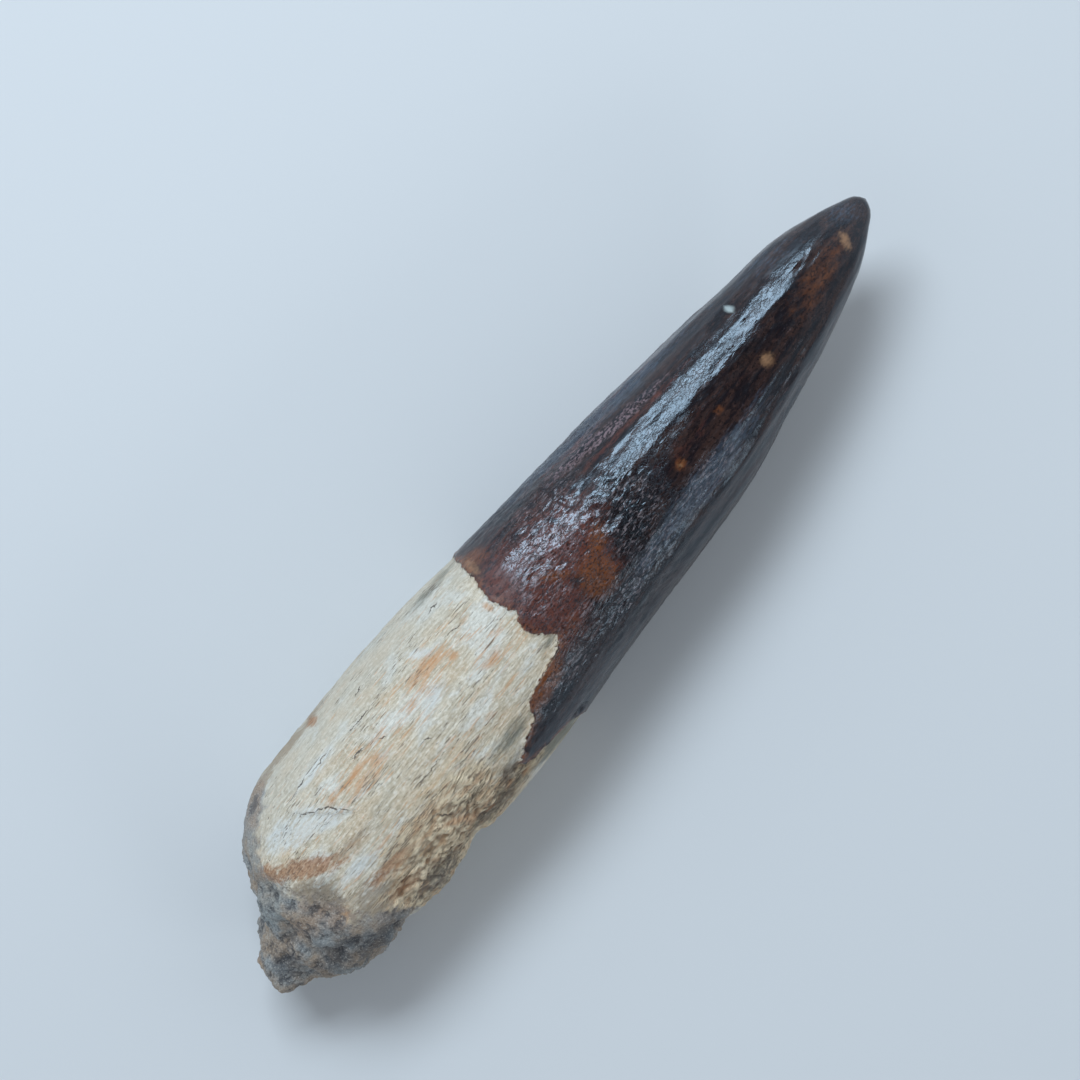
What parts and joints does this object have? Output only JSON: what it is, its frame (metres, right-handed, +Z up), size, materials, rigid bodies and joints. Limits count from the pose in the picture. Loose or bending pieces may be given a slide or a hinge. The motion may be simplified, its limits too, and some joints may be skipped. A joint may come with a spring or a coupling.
{
  "type": "fossil spinosaurus tooth",
  "caption": "Fossil spinosaurus tooth lying on its side: a long, nearly straight cone with a fluted dark glossy crown, a pale fibrous root and a sandy crust on the root's broken end.",
  "frame": {"origin": "on the surface the tooth rests on, under the middle of its length and width", "axes": "+X along the tooth from the root's broken end to the point, +Z up from the resting surface, +Y to the side that is the upper left one in the picture"},
  "size_m": [0.0905, 0.0195, 0.0172],
  "materials": {
    "fossil": "satin"
  },
  "bodies": {
    "root": {"fossil_tooth": "fossil"}
  },
  "joints": []
}
